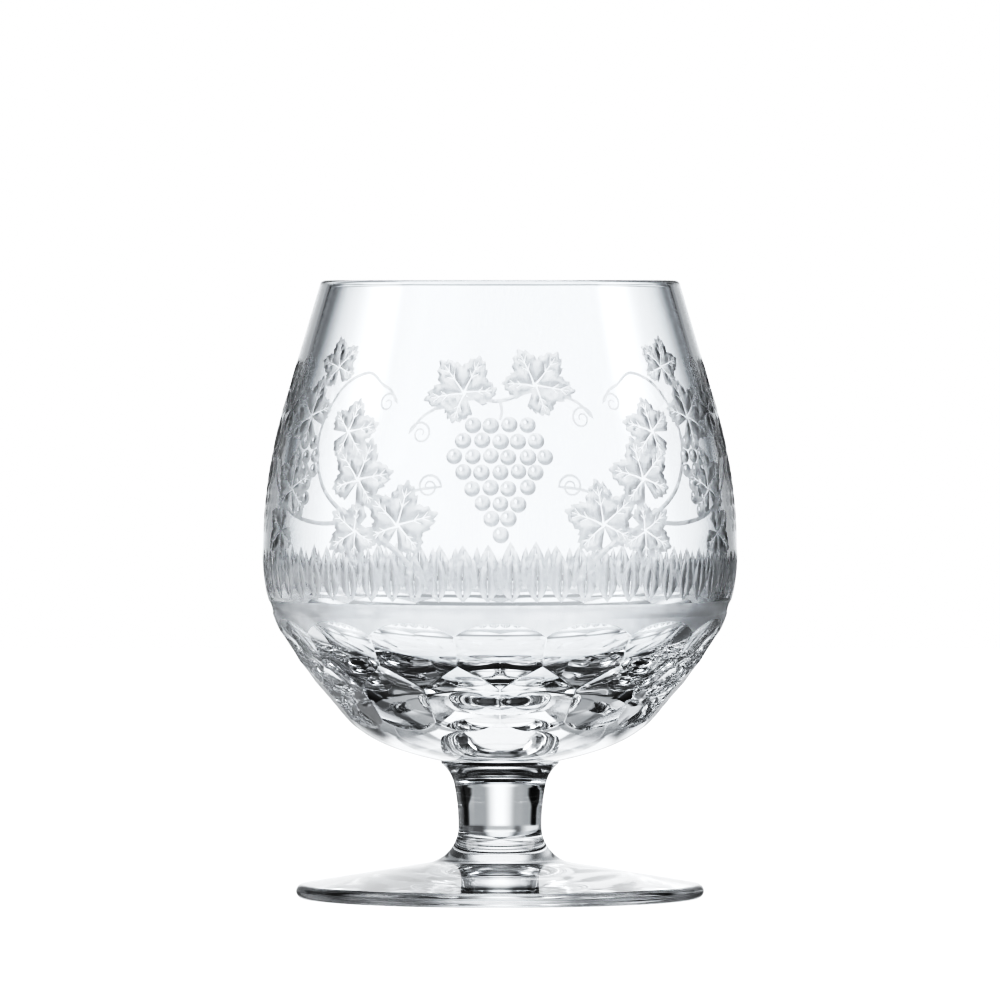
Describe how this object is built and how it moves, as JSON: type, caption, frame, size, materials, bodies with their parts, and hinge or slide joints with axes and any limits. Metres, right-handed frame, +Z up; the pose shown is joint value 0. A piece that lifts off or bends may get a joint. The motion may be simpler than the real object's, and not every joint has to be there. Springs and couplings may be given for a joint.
{
  "type": "brandy snifter",
  "caption": "Stemmed brandy glass: a wide round bowl drawn in to the mouth, a band of lens cuts under an engraved belly, a short solid stem and a flared round foot.",
  "frame": {"origin": "on the axis of the glass, in the plane that the foot stands on", "axes": "+Z up along the axis of the glass, -Y towards the viewer, with a lens cut of the upper row facing -Y"},
  "size_m": [0.096, 0.096, 0.125],
  "materials": {
    "crystal": "polished"
  },
  "bodies": {
    "root": {"bowl": "crystal", "stem": "crystal", "foot": "crystal"}
  },
  "joints": []
}
